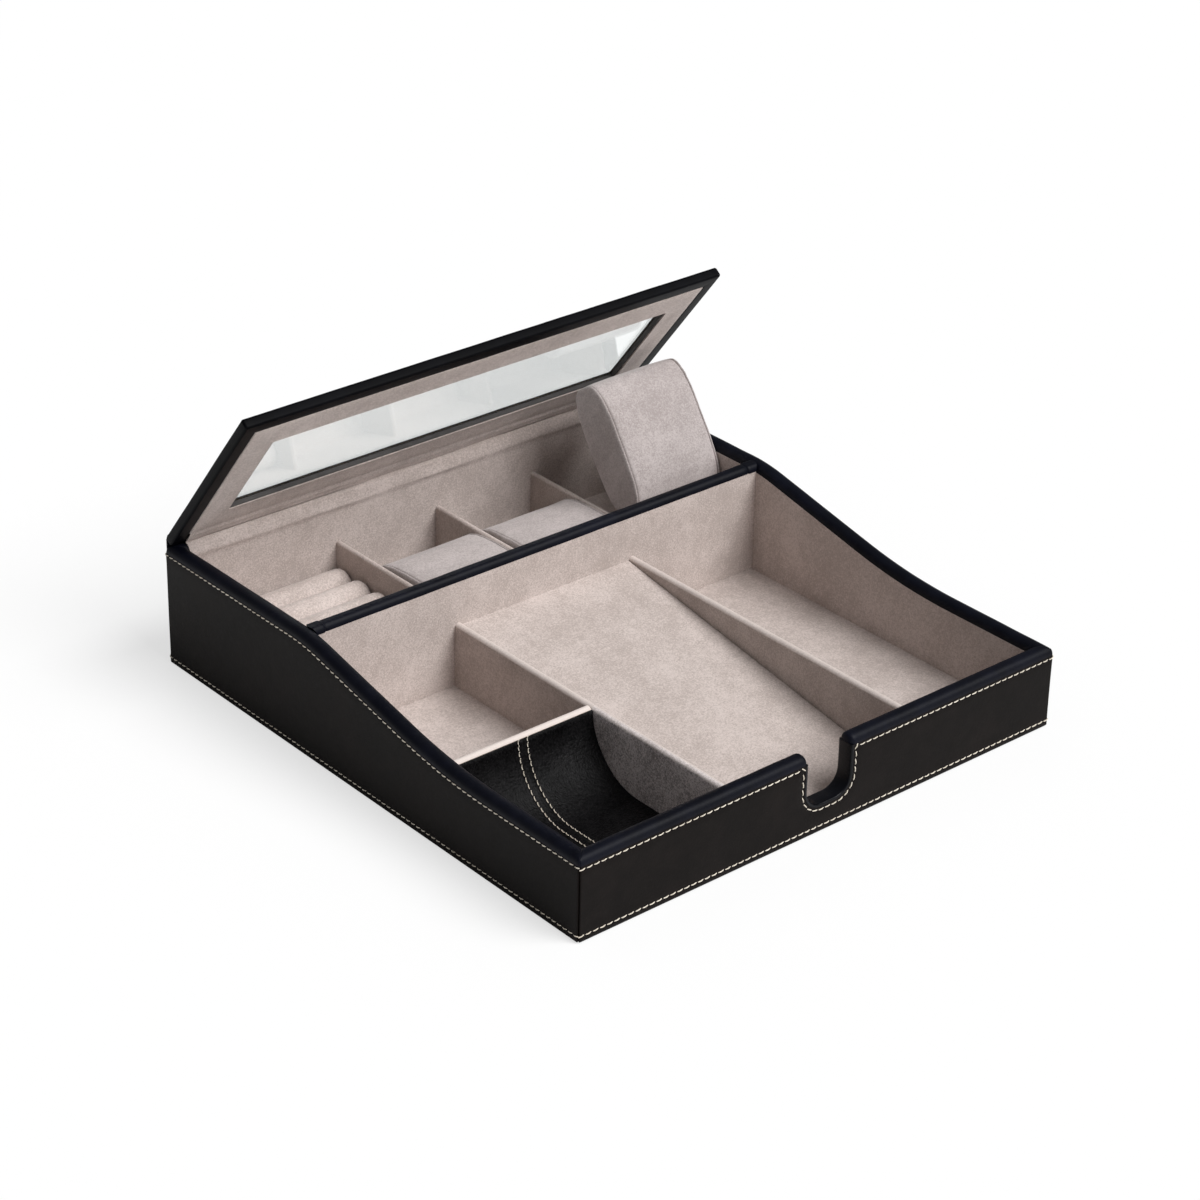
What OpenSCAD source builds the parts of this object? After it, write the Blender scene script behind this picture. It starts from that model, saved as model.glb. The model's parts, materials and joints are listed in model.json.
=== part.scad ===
// Valet box: a low tray of leather-covered boards lined with suede. The high back part holds a ring
// cushion and three watch pillows under a hinged lid with a glass window. The low front part holds a
// key bay, a coin scoop, a sloped rest with a cable notch, and a long open bay.
// The side rims drop from the back part to the front in a slow S-shaped curve.

/* [Tray] */
// Overall width
body_w = 290; // [260:1:330]
// Overall depth
body_d = 308; // [296:1:340]
// Top of the rims round the back part
rim_high_z = 64.2; // [58:0.2:69]
// Top of the front rim
rim_low_z = 42.6; // [40:0.2:50]
// Finished thickness of an outer wall
wall_t = 8.6; // [7:0.1:11]
// Thickness of the leather skins
leather_t = 1.4; // [0.8:0.1:2]
// Thickness of the suede lining
lining_t = 1.4; // [0.8:0.1:2]
// Radius of the upright outer corners
corner_r = 3; // [2.2:0.1:5]
// Horizontal length of the S-shaped drop of a side rim
curve_run = 144; // [136:1:170]
// Radius of the drop's lower bend
low_bend_r = 300; // [200:1:340]
// Radius of the drop's upper bend
high_bend_r = 100; // [60:1:130]

/* [Base] */
// Thickness of the felt sheet under the box
felt_t = 1; // [0.6:0.1:2]
// How far the felt sheet stays inside the outer faces
felt_inset = 3; // [2:0.5:8]
// Thickness of the base board
base_t = 3; // [2:0.5:6]
// Height of the leather skins' lower edge over the table
skin_lift = 0.6; // [0.4:0.1:0.9]
// Thickness of the padded floor of the back part
rear_pad_t = 8; // [4:0.5:12]

/* [Inner walls] */
// Inside depth of the back part
rear_bay_d = 95.4; // [88:0.1:108]
// Finished thickness of the wall between the front and back parts
divider_t = 7.3; // [6:0.1:10]
// Top of the low inner walls
partition_z = 39; // [34:0.5:42]
// Thickness of the low inner walls of the front part
partition_t = 4; // [3:0.5:6]
// Width of the two outer bays of the front part
side_bay_w = 80; // [70:1:90]
// Inside depth of the coin bay
coin_bay_d = 88.4; // [70:0.1:110]
// Radius of the coin scoop's curve
scoop_r = 32.6; // [20:0.1:33]
// Thickness of the low walls between the watch bays
bay_wall_t = 3; // [2:0.5:5]
// Inside width of the ring bay
ring_bay_w = 86; // [70:1:100]

/* [Sloped rest] */
// Height of the rest's surface at the back
ramp_back_z = 37.2; // [24:0.2:38]
// Height of the rest's surface at the front
ramp_front_z = 6.2; // [6:0.2:10]
// Thickness of the rest's board
ramp_board_t = 3; // [2:0.5:5]
// Thickness of the rest's suede cover
ramp_cover_t = 1.2; // [0.8:0.1:2]
// Depth of each block under the rest
ramp_block_d = 14; // [8:1:24]

/* [Cable notch] */
// Clear width of the notch in the front wall
notch_w = 26.6; // [16:0.2:36]
// Height of the notch's lowest point
notch_z = 15; // [12:0.5:24]
// Radius of the notch's lower corners
notch_r = 9; // [4:0.5:12]

/* [Cushions] */
// Gap between a watch pillow's ends and the walls of its bay
pillow_gap = 1.1; // [0.5:0.1:3]
// Length of a watch pillow
pillow_l = 70; // [60:0.5:74]
// Thickness of a watch pillow
pillow_t = 28; // [24:0.5:32]
// Number of ring rolls
ring_rolls_n = 6; // [4:1:8]
// Height of the ring rolls over their base
ring_roll_h = 13.5; // [10:0.5:18]
// Thickness of the ring rolls' base
ring_base_t = 2.5; // [1.5:0.5:4]

/* [Lid] */
// Angle of the lid from closed
lid_open = 52.3; // [0:0.1:92]
// Thickness of the lid
lid_t = 5.4; // [4.6:0.1:8]
// How far the lid's front edge reaches past the inner wall
lid_overhang = 4; // [0:0.5:8]
// How far the lid's ends stay inside the outer faces
lid_inset = 0.6; // [0:0.1:2]
// Width of the frame round the window
window_border = 24; // [18:0.5:32]
// Thickness of the glass
glass_t = 2; // [1.4:0.1:2.4]
// Depth of glass held in the frame all round
glass_hold = 4; // [2:0.5:8]
// Thickness of the lid's leather
lid_leather_t = 1.2; // [0.8:0.1:1.6]
// Thickness of the lid's suede
lid_suede_t = 1; // [0.6:0.1:1.4]
// Width of the leather border on the lid's under side
turn_in = 8; // [4:0.5:14]

/* [Hidden] */
$fn = 120;
overrun = 1;
// Running gap under the closed lid, and the gap that soft pieces keep
lid_gap = 0.3;
soft_gap = 0.3;
side_gap = 0.3;
// The rims sit a hair inside the faces of the walls that carry them
rim_seam = 0.1;
rim_r = wall_t / 2 - rim_seam;
// Hairline between the lengths that a side rim is made of
rim_joint = 0.02;
rim_low_base = rim_low_z - rim_r;
rim_high_base = rim_high_z - rim_r;
base_top = felt_t + base_t;
front_floor_t = 1.2;
front_floor_z = base_top + front_floor_t;
rear_floor_z = base_top + rear_pad_t;
inner_back_y = body_d - wall_t;
rear_y = inner_back_y - rear_bay_d;
divider_y = rear_y - divider_t;
front_bay_d = divider_y - wall_t;
inner_w = body_w - 2 * wall_t;
divider_rim_r = divider_t / 2;
divider_base = rim_high_z - divider_rim_r;

// The drop of the side rims: a slow lower bend and a closer upper one, joined by a straight slope
curve_past_divider = 2;
curve_high_y = rear_y + curve_past_divider;
curve_low_y = curve_high_y - curve_run;
curve_drop = rim_high_z - rim_low_z;
bend_sum = low_bend_r + high_bend_r;
curve_reach = norm([bend_sum - curve_drop, curve_run]);
curve_lean = atan2(curve_run, bend_sum - curve_drop) - acos(bend_sum / curve_reach);
low_run = low_bend_r * sin(curve_lean);
high_run = high_bend_r * sin(curve_lean);
low_tangent = [curve_low_y + low_run, rim_low_base + low_bend_r * (1 - cos(curve_lean))];
high_tangent = [curve_high_y - high_run, rim_high_base - high_bend_r * (1 - cos(curve_lean))];
slope_l = norm(high_tangent - low_tangent);

// Bays of the front part
left_partition_x = wall_t + side_bay_w;
right_partition_x = body_w - wall_t - side_bay_w - partition_t;
rest_x = left_partition_x + partition_t;
rest_w = right_partition_x - rest_x;
coin_wall_y = wall_t + coin_bay_d;
ramp_angle = atan2(ramp_back_z - ramp_front_z, front_bay_d);
ramp_cover_drop = ramp_cover_t / cos(ramp_angle);
ramp_board_drop = ramp_cover_drop + ramp_board_t / cos(ramp_angle);
ramp_slope = tan(ramp_angle);
ramp_middle_share = 0.5;

// Bays of the back part
watch_bays_n = 3;
watch_bay_w = (inner_w - ring_bay_w - watch_bays_n * bay_wall_t) / watch_bays_n;
first_bay_wall_x = wall_t + ring_bay_w;
roll_pitch = (rear_bay_d - 2 * soft_gap) / ring_rolls_n;
roll_gap = 0.2;
roll_r = roll_pitch / 2 - roll_gap;
roll_end_r = 3;
ring_base_z = rear_floor_z + ring_base_t;
roll_z = ring_base_z + ring_roll_h - roll_r;

// Watch pillows: a rounded block with a crown, drawn in towards its end panels
pillow_w = watch_bay_w - 2 * pillow_gap;
pillow_front_gap = 0.5;
pillow_rings = 8;
pillow_sides = 40;
pillow_power = 3.2;
pillow_draw = 1.4;
pillow_bulge = 1.2;
panel_share = 0.6;
panel_step_share = 1 / 3;
pillow_z = rear_floor_z + soft_gap + pillow_t / 2;
pillow_y = rear_y + pillow_front_gap + pillow_l / 2;
// The right pillow stands propped under the open lid, and lies down in its bay as the lid comes down
pillow_turn_share = 1.07;
propped_tilt = lid_open * pillow_turn_share;
propped_back = 11.3;
pivot_back = 4;
pivot_over_floor = 32;
pivot_y = rear_y + pivot_back;
pivot_z = rear_floor_z + pivot_over_floor;

// Lid
hinge_y = body_d - wall_t / 2;
hinge_z = rim_high_z + lid_gap;
lid_l = hinge_y - divider_y + lid_overhang;
lid_w = body_w - 2 * lid_inset;
rail_low = lid_suede_t;
rail_high = lid_t - lid_leather_t;
glass_low = rail_high - glass_t;
window_l = lid_l - 2 * window_border;
window_trim_t = 0.8;
cloth_t = 0.8;
cloth_overlap = 8;
cloth_top = hinge_z + (hinge_y - inner_back_y) * tan(lid_open) - lid_gap;

// Cable notch
notch_x = body_w / 2;
binding_t = leather_t;

leather_color = [0.07, 0.07, 0.085];
suede_color = [0.66, 0.59, 0.55];
board_color = [0.72, 0.58, 0.40];
felt_color = [0.12, 0.11, 0.11];
pillow_color = [0.74, 0.69, 0.66];
glass_color = [0.85, 0.92, 0.95, 0.35];

// Everything is drawn from the front left corner of the footprint, then centred over the origin
module placed() {
    translate([-body_w / 2, -body_d / 2, 0]) children();
}

// A flat outline drawn across the depth and up, given a width to the right
module across(width) {
    rotate([90, 0, 90]) linear_extrude(width) children();
}

// Plan outline of the box, drawn in by an inset
module footprint(inset) {
    r = corner_r - inset;
    translate([inset + r, inset]) square([body_w - 2 * inset - 2 * r, body_d - 2 * inset]);
    translate([inset, inset + r]) square([body_w - 2 * inset, body_d - 2 * inset - 2 * r]);
    for (x = [inset + r, body_w - inset - r], y = [inset + r, body_d - inset - r])
        translate([x, y]) circle(r);
}

// Plan of one wall between its mitred corners
module left_plan() {
    polygon([[0, 0], [wall_t, wall_t], [wall_t, body_d - wall_t], [0, body_d]]);
}

module front_plan() {
    polygon([[0, 0], [body_w, 0], [body_w - wall_t, wall_t], [wall_t, wall_t]]);
}

module mirrored_left_right() {
    translate([body_w, 0, 0]) mirror([1, 0, 0]) children();
}

// Side view of a side wall, from a given height up to the foot of its rim
module side_outline(low_z) {
    translate([0, low_z]) square([curve_low_y, rim_low_base - low_z]);
    difference() {
        translate([curve_low_y, low_z]) square([low_run, low_tangent.y - low_z]);
        translate([curve_low_y, rim_low_base + low_bend_r]) circle(low_bend_r, $fn = 360);
    }
    polygon([[low_tangent.x, low_z], low_tangent, high_tangent, [high_tangent.x, low_z]]);
    intersection() {
        translate([high_tangent.x, low_z]) square([high_run, rim_high_base - low_z]);
        translate([curve_high_y, rim_high_base - high_bend_r]) circle(high_bend_r, $fn = 360);
    }
    translate([curve_high_y, low_z]) square([body_d - curve_high_y, rim_high_base - low_z]);
}

// Half of a round rim's section, flat side down
module half_round(r) {
    intersection() {
        circle(r);
        translate([-r, 0]) square([2 * r, r]);
    }
}

// A straight rim along the width, from the left
module straight_rim(length, r) {
    rotate([90, 0, 90]) linear_extrude(length) half_round(r);
}

// A rim along the depth, in side view: sections lie in the plane across it
module rim_run(length) {
    rotate([0, 90, 0]) linear_extrude(length) half_round(rim_r);
}

// One bend of the side rim, inward when its round side faces the bend's centre
module rim_bend(r, inward) {
    rotate_extrude(angle = curve_lean, $fn = 360)
        translate([r, 0]) rotate(inward ? 90 : -90) half_round(rim_r);
}

// Turns a rim drawn in side view upright, over the middle of the wall
module over_side_wall() {
    translate([wall_t / 2, 0, 0]) rotate([90, 0, 90]) children();
}

module side_rim() {
    over_side_wall() {
        translate([curve_low_y, rim_low_base + low_bend_r]) rotate([0, 0, -90]) rim_bend(low_bend_r, true);
        translate(low_tangent) rotate([0, 0, curve_lean]) translate([rim_joint, 0])
            rim_run(slope_l - 2 * rim_joint);
        translate([curve_high_y, rim_high_base - high_bend_r]) rotate([0, 0, 90]) rim_bend(high_bend_r, false);
    }
    intersection() {
        over_side_wall() {
            translate([0, rim_low_base]) rim_run(curve_low_y);
            translate([curve_high_y, rim_high_base]) rim_run(body_d - curve_high_y);
        }
        linear_extrude(rim_high_z + overrun) intersection() {
            left_plan();
            footprint(0);
        }
    }
}

// Outline of the cable notch in front view, grown by a margin, open at the top
module notch_outline(grow) {
    half = notch_w / 2 + grow;
    low = notch_z - grow;
    r = notch_r + grow;
    translate([notch_x, 0]) {
        translate([-half, low + r]) square([2 * half, rim_low_z + overrun - low - r]);
        translate([r - half, low]) square([2 * half - 2 * r, r + overrun]);
        for (side = [-1, 1]) translate([side * (half - r), low + r]) circle(r);
    }
}

module notch_cut(grow) {
    translate([0, wall_t + overrun, 0]) rotate([90, 0, 0])
        linear_extrude(wall_t + 2 * overrun) notch_outline(grow);
}

// A low inner wall with a rounded top, along the depth
module partition_wall(length, thickness, low_z) {
    r = thickness / 2;
    translate([0, 0, low_z]) cube([thickness, length, partition_z - r - low_z]);
    translate([r, 0, partition_z - r]) rotate([-90, 0, 0]) rotate([0, 0, 180])
        linear_extrude(length) half_round(r);
}

module base_felt() {
    color(felt_color) translate([felt_inset, felt_inset, 0])
        cube([body_w - 2 * felt_inset, body_d - 2 * felt_inset, felt_t]);
}

module base_board() {
    color(board_color) translate([0, 0, felt_t]) linear_extrude(base_t) footprint(leather_t);
}

module front_floor() {
    color(suede_color) translate([wall_t, wall_t, base_top])
        cube([inner_w, front_bay_d, front_floor_t]);
}

module rear_floor_pad() {
    color(suede_color) translate([wall_t, rear_y, base_top]) cube([inner_w, rear_bay_d, rear_pad_t]);
}

module side_wall_board() {
    intersection() {
        translate([leather_t, 0, 0]) across(wall_t - leather_t - lining_t) side_outline(base_top);
        linear_extrude(rim_high_z) footprint(leather_t);
    }
}

module left_wall_board() {
    color(board_color) side_wall_board();
}

module right_wall_board() {
    color(board_color) mirrored_left_right() side_wall_board();
}

module front_wall_board() {
    color(board_color) difference() {
        translate([wall_t - lining_t, leather_t, base_top])
            cube([inner_w + 2 * lining_t, wall_t - leather_t - lining_t, rim_low_base - base_top]);
        notch_cut(binding_t);
    }
}

module back_wall_board() {
    color(board_color) translate([wall_t - lining_t, body_d - wall_t + lining_t, base_top])
        cube([inner_w + 2 * lining_t, wall_t - leather_t - lining_t, rim_high_base - base_top]);
}

module skin_plan() {
    difference() {
        footprint(0);
        footprint(leather_t);
    }
}

module side_leather() {
    intersection() {
        across(corner_r) side_outline(skin_lift);
        linear_extrude(rim_high_z) intersection() {
            skin_plan();
            left_plan();
        }
    }
}

module left_leather() {
    color(leather_color) side_leather();
}

module right_leather() {
    color(leather_color) mirrored_left_right() side_leather();
}

module front_leather() {
    color(leather_color) difference() {
        translate([0, 0, skin_lift]) linear_extrude(rim_low_base - skin_lift) intersection() {
            skin_plan();
            front_plan();
        }
        notch_cut(binding_t);
    }
}

module back_leather() {
    color(leather_color) translate([0, 0, skin_lift]) linear_extrude(rim_high_base - skin_lift)
        intersection() {
            skin_plan();
            translate([0, body_d]) mirror([0, 1]) front_plan();
        }
}

module side_lining() {
    intersection() {
        translate([wall_t - lining_t, 0, 0]) across(lining_t) side_outline(base_top);
        translate([0, wall_t - lining_t, 0])
            cube([wall_t, body_d - 2 * wall_t + 2 * lining_t, rim_high_z]);
    }
}

module left_lining() {
    color(suede_color) side_lining();
}

module right_lining() {
    color(suede_color) mirrored_left_right() side_lining();
}

module front_lining() {
    color(suede_color) difference() {
        translate([wall_t, wall_t - lining_t, base_top])
            cube([inner_w, lining_t, rim_low_base - base_top]);
        notch_cut(binding_t);
    }
}

module back_lining() {
    color(suede_color) translate([wall_t, inner_back_y, base_top])
        cube([inner_w, lining_t, rim_high_base - base_top]);
}

module left_rim() {
    color(leather_color) side_rim();
}

module right_rim() {
    color(leather_color) mirrored_left_right() side_rim();
}

module front_rim_half() {
    intersection() {
        translate([0, wall_t / 2, rim_low_base]) straight_rim(notch_x - notch_w / 2, rim_r);
        linear_extrude(rim_low_z + overrun) intersection() {
            front_plan();
            footprint(0);
        }
    }
}

module front_rim_left() {
    color(leather_color) front_rim_half();
}

module front_rim_right() {
    color(leather_color) mirrored_left_right() front_rim_half();
}

module back_rim() {
    color(leather_color) intersection() {
        translate([0, body_d - wall_t / 2, rim_high_base]) straight_rim(body_w, rim_r);
        linear_extrude(rim_high_z + overrun) intersection() {
            translate([0, body_d]) mirror([0, 1]) front_plan();
            footprint(0);
        }
    }
}

module notch_binding() {
    color(leather_color) intersection() {
        difference() {
            notch_cut(binding_t);
            notch_cut(0);
        }
        cube([body_w, wall_t, rim_low_base]);
    }
}

module divider_board() {
    color(board_color) translate([wall_t, divider_y + lining_t, base_top])
        cube([inner_w, divider_t - 2 * lining_t, divider_base - base_top]);
}

module divider_front_lining() {
    color(suede_color) translate([wall_t, divider_y, base_top])
        cube([inner_w, lining_t, divider_base - base_top]);
}

module divider_back_lining() {
    color(suede_color) translate([wall_t, rear_y - lining_t, base_top])
        cube([inner_w, lining_t, divider_base - base_top]);
}

module divider_rim() {
    color(leather_color) translate([wall_t, divider_y + divider_rim_r, divider_base])
        straight_rim(inner_w, divider_rim_r);
}

// Wall number 0 closes the ring bay, the others stand between the watch bays
module bay_wall(number) {
    translate([first_bay_wall_x + number * (bay_wall_t + watch_bay_w), rear_y, 0])
        partition_wall(rear_bay_d, bay_wall_t, rear_floor_z);
}

module ring_bay_wall() {
    color(suede_color) bay_wall(0);
}

module left_watch_bay_wall() {
    color(suede_color) bay_wall(1);
}

module right_watch_bay_wall() {
    color(suede_color) bay_wall(2);
}

module ring_cushion_base() {
    color(suede_color) translate([wall_t + soft_gap, rear_y + soft_gap, rear_floor_z])
        cube([ring_bay_w - 2 * soft_gap, rear_bay_d - 2 * soft_gap, ring_base_t]);
}

// One ring roll along the width: a stuffed roll with rounded ends, flat where it meets its base
module ring_roll() {
    length = ring_bay_w - 2 * soft_gap;
    intersection() {
        rotate([0, 90, 0]) rotate_extrude() {
            translate([0, roll_end_r]) square([roll_r, length - 2 * roll_end_r]);
            square([roll_r - roll_end_r, length]);
            for (y = [roll_end_r, length - roll_end_r])
                translate([roll_r - roll_end_r, y]) circle(roll_end_r);
        }
        translate([0, -roll_pitch, ring_base_z - roll_z]) cube([length, 2 * roll_pitch, 2 * roll_pitch]);
    }
}

module ring_rolls() {
    color(suede_color) for (i = [0 : ring_rolls_n - 1])
        translate([wall_t + soft_gap, rear_y + soft_gap + (i + 0.5) * roll_pitch, roll_z]) ring_roll();
}

module rest_left_wall() {
    color(suede_color) translate([left_partition_x, wall_t, 0])
        partition_wall(front_bay_d, partition_t, front_floor_z);
}

module rest_right_wall() {
    color(suede_color) translate([right_partition_x, wall_t, 0])
        partition_wall(front_bay_d, partition_t, front_floor_z);
}

// Side view of a slice of the sloped rest, between two depths under its surface
module rest_slice(high_drop, low_drop) {
    intersection() {
        polygon([[wall_t, ramp_front_z - high_drop], [divider_y, ramp_back_z - high_drop],
                 [divider_y, ramp_back_z - low_drop], [wall_t, ramp_front_z - low_drop]]);
        translate([wall_t, front_floor_z]) square([front_bay_d, ramp_back_z]);
    }
}

module rest_board() {
    color(board_color) translate([rest_x + side_gap, 0, 0]) across(rest_w - 2 * side_gap)
        rest_slice(ramp_cover_drop, ramp_board_drop);
}

module rest_cover() {
    color(suede_color) translate([rest_x + side_gap, 0, 0]) across(rest_w - 2 * side_gap)
        rest_slice(0, ramp_cover_drop);
}

// A block that carries the rest's board, from the floor up to the board's under side
module rest_block(front_y) {
    low_front = ramp_front_z - ramp_board_drop + (front_y - wall_t) * ramp_slope;
    translate([rest_x + side_gap, 0, 0]) across(rest_w - 2 * side_gap)
        polygon([[front_y, front_floor_z], [front_y + ramp_block_d, front_floor_z],
                 [front_y + ramp_block_d, low_front + ramp_block_d * ramp_slope],
                 [front_y, low_front]]);
}

module rest_rear_block() {
    color(board_color) rest_block(divider_y - ramp_block_d);
}

module rest_middle_block() {
    color(board_color) rest_block(wall_t + front_bay_d * ramp_middle_share);
}

module coin_bay_wall() {
    color(suede_color) translate([wall_t, coin_wall_y + partition_t, 0]) rotate([0, 0, -90])
        partition_wall(side_bay_w, partition_t, front_floor_z);
}

// Side view of the space in front of the coin bay's wall, down to the curve of the scoop
module scoop_curve(r) {
    intersection() {
        translate([coin_wall_y - leather_t - scoop_r, front_floor_z + leather_t + scoop_r]) circle(r);
        translate([coin_wall_y - leather_t - scoop_r, 0])
            square([scoop_r + leather_t + overrun, front_floor_z + leather_t + scoop_r]);
    }
}

module coin_scoop() {
    color(leather_color) translate([wall_t + side_gap, 0, 0]) across(side_bay_w - 2 * side_gap) {
        difference() {
            scoop_curve(scoop_r + leather_t);
            scoop_curve(scoop_r);
        }
        translate([wall_t, front_floor_z])
            square([coin_bay_d - leather_t - scoop_r, leather_t]);
    }
}

module coin_scoop_block() {
    color(board_color) translate([wall_t + side_gap, 0, 0]) across(side_bay_w - 2 * side_gap)
        difference() {
            translate([coin_wall_y - leather_t - scoop_r, front_floor_z])
                square([scoop_r + leather_t, scoop_r]);
            scoop_curve(scoop_r + leather_t);
            translate([coin_wall_y - leather_t - scoop_r - overrun, front_floor_z])
                square([overrun, overrun]);
        }
}

// Points of a watch pillow, ring by ring from its left panel to its right one
function rounded(value) = sign(value) * pow(abs(value), 2 / pillow_power);
function pillow_ring(x, draw) = [for (k = [0 : pillow_sides - 1]) let (turn = 360 * k / pillow_sides)
    [x, (pillow_l / 2 - draw) * rounded(cos(turn)), (pillow_t / 2 - draw) * rounded(sin(turn))]];
function panel_ring(x) = [for (p = pillow_ring(x, pillow_draw)) [x, p.y * panel_share, p.z * panel_share]];
pillow_seam_x = pillow_w / 2 - pillow_bulge;
pillow_points = concat(
    [[-pillow_w / 2, 0, 0]],
    panel_ring(-pillow_w / 2 + pillow_bulge * panel_step_share),
    [for (i = [0 : pillow_rings]) let (at = 2 * i / pillow_rings - 1)
        each pillow_ring(at * pillow_seam_x, pillow_draw * pow(abs(at), 4))],
    panel_ring(pillow_w / 2 - pillow_bulge * panel_step_share),
    [[pillow_w / 2, 0, 0]]);
pillow_bands = pillow_rings + 2;
pillow_last = len(pillow_points) - 1;
function ring_point(band, k) = 1 + band * pillow_sides + k % pillow_sides;
pillow_faces = concat(
    [for (k = [0 : pillow_sides - 1]) [0, ring_point(0, k), ring_point(0, k + 1)]],
    [for (band = [0 : pillow_bands - 1], k = [0 : pillow_sides - 1])
        each [[ring_point(band, k), ring_point(band + 1, k), ring_point(band + 1, k + 1)],
              [ring_point(band, k), ring_point(band + 1, k + 1), ring_point(band, k + 1)]]],
    [for (k = [0 : pillow_sides - 1])
        [pillow_last, ring_point(pillow_bands, k + 1), ring_point(pillow_bands, k)]]);

module watch_pillow() {
    color(pillow_color) polyhedron(pillow_points, pillow_faces);
}

function watch_bay_x(number) = first_bay_wall_x + bay_wall_t + number * (bay_wall_t + watch_bay_w);

module left_pillow() {
    translate([watch_bay_x(0) + watch_bay_w / 2, pillow_y, pillow_z]) watch_pillow();
}

module middle_pillow() {
    translate([watch_bay_x(1) + watch_bay_w / 2, pillow_y, pillow_z]) watch_pillow();
}

module right_pillow() {
    translate([body_w - wall_t - soft_gap - pillow_w / 2, pivot_y, pivot_z]) rotate([propped_tilt, 0, 0])
        translate([0, pillow_y + propped_back - pivot_y, pillow_z - pivot_z]) watch_pillow();
}

// The lid is drawn closed with its lower back edge on the hinge line, then swung open about it
module swung() {
    translate([0, hinge_y, hinge_z]) rotate([-lid_open, 0, 0]) children();
}

module lid_block(border_x, border_y, low, high) {
    translate([lid_inset + border_x, border_y - lid_l, low])
        cube([lid_w - 2 * border_x, lid_l - 2 * border_y, high - low]);
}

// A rail of the lid's frame as a plain bar, rebated for the glass
module rebated_rail(plan_x, plan_y, size_x, size_y) {
    difference() {
        translate([lid_inset + plan_x, plan_y - lid_l, rail_low])
            cube([size_x, size_y, rail_high - rail_low]);
        lid_block(window_border - glass_hold, window_border - glass_hold, glass_low, lid_t + overrun);
    }
}

module lid_front_rail() {
    color(board_color) swung() rebated_rail(lid_leather_t, lid_leather_t,
        lid_w - 2 * lid_leather_t, window_border - lid_leather_t);
}

module lid_back_rail() {
    color(board_color) swung() rebated_rail(lid_leather_t, lid_l - window_border,
        lid_w - 2 * lid_leather_t, window_border - lid_leather_t);
}

module lid_left_rail() {
    color(board_color) swung() rebated_rail(lid_leather_t, window_border,
        window_border - lid_leather_t, window_l);
}

module lid_right_rail() {
    color(board_color) swung() rebated_rail(lid_w - window_border, window_border,
        window_border - lid_leather_t, window_l);
}

module lid_leather() {
    color(leather_color) swung() {
        difference() {
            lid_block(0, 0, 0, lid_t);
            lid_block(lid_leather_t, lid_leather_t, -overrun, rail_high);
            lid_block(window_border, window_border, -overrun, lid_t + overrun);
        }
        difference() {
            translate([lid_inset + lid_leather_t, lid_leather_t - lid_l, 0])
                cube([lid_w - 2 * lid_leather_t, lid_l - 2 * lid_leather_t, rail_low]);
            translate([lid_inset + turn_in, turn_in - lid_l, -overrun])
                cube([lid_w - 2 * turn_in, lid_l, rail_low + 2 * overrun]);
        }
    }
}

module lid_suede() {
    color(suede_color) swung() difference() {
        translate([lid_inset + turn_in, turn_in - lid_l, 0])
            cube([lid_w - 2 * turn_in, lid_l - turn_in - lid_leather_t, lid_suede_t]);
        lid_block(window_border, window_border, -overrun, lid_suede_t + overrun);
    }
}

module window_trim() {
    color(leather_color) swung() difference() {
        lid_block(window_border, window_border, 0, glass_low);
        lid_block(window_border + window_trim_t, window_border + window_trim_t,
                  -overrun, glass_low + overrun);
    }
}

module glass_pane() {
    color(glass_color) swung()
        lid_block(window_border - glass_hold, window_border - glass_hold, glass_low, rail_high);
}

// Suede that bridges the hinge, from the back lining up to the lid's under side
module hinge_cloth() {
    color(suede_color) translate([wall_t, inner_back_y - cloth_t, rim_high_base - cloth_overlap])
        cube([inner_w, cloth_t, cloth_top - rim_high_base + cloth_overlap]);
}

placed() base_felt();
placed() base_board();
placed() front_floor();
placed() rear_floor_pad();
placed() left_wall_board();
placed() right_wall_board();
placed() front_wall_board();
placed() back_wall_board();
placed() left_leather();
placed() right_leather();
placed() front_leather();
placed() back_leather();
placed() left_lining();
placed() right_lining();
placed() front_lining();
placed() back_lining();
placed() left_rim();
placed() right_rim();
placed() front_rim_left();
placed() front_rim_right();
placed() back_rim();
placed() notch_binding();
placed() divider_board();
placed() divider_front_lining();
placed() divider_back_lining();
placed() divider_rim();
placed() ring_bay_wall();
placed() left_watch_bay_wall();
placed() right_watch_bay_wall();
placed() ring_cushion_base();
placed() ring_rolls();
placed() rest_left_wall();
placed() rest_right_wall();
placed() rest_board();
placed() rest_cover();
placed() rest_rear_block();
placed() rest_middle_block();
placed() coin_bay_wall();
placed() coin_scoop();
placed() coin_scoop_block();
placed() left_pillow();
placed() middle_pillow();
placed() right_pillow();
placed() lid_front_rail();
placed() lid_back_rail();
placed() lid_left_rail();
placed() lid_right_rail();
placed() lid_leather();
placed() lid_suede();
placed() window_trim();
placed() glass_pane();
placed() hinge_cloth();
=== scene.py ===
import json
import math
from functools import partial

import bmesh
import bpy
import numpy as np
from mathutils import Matrix, Vector, noise


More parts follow.
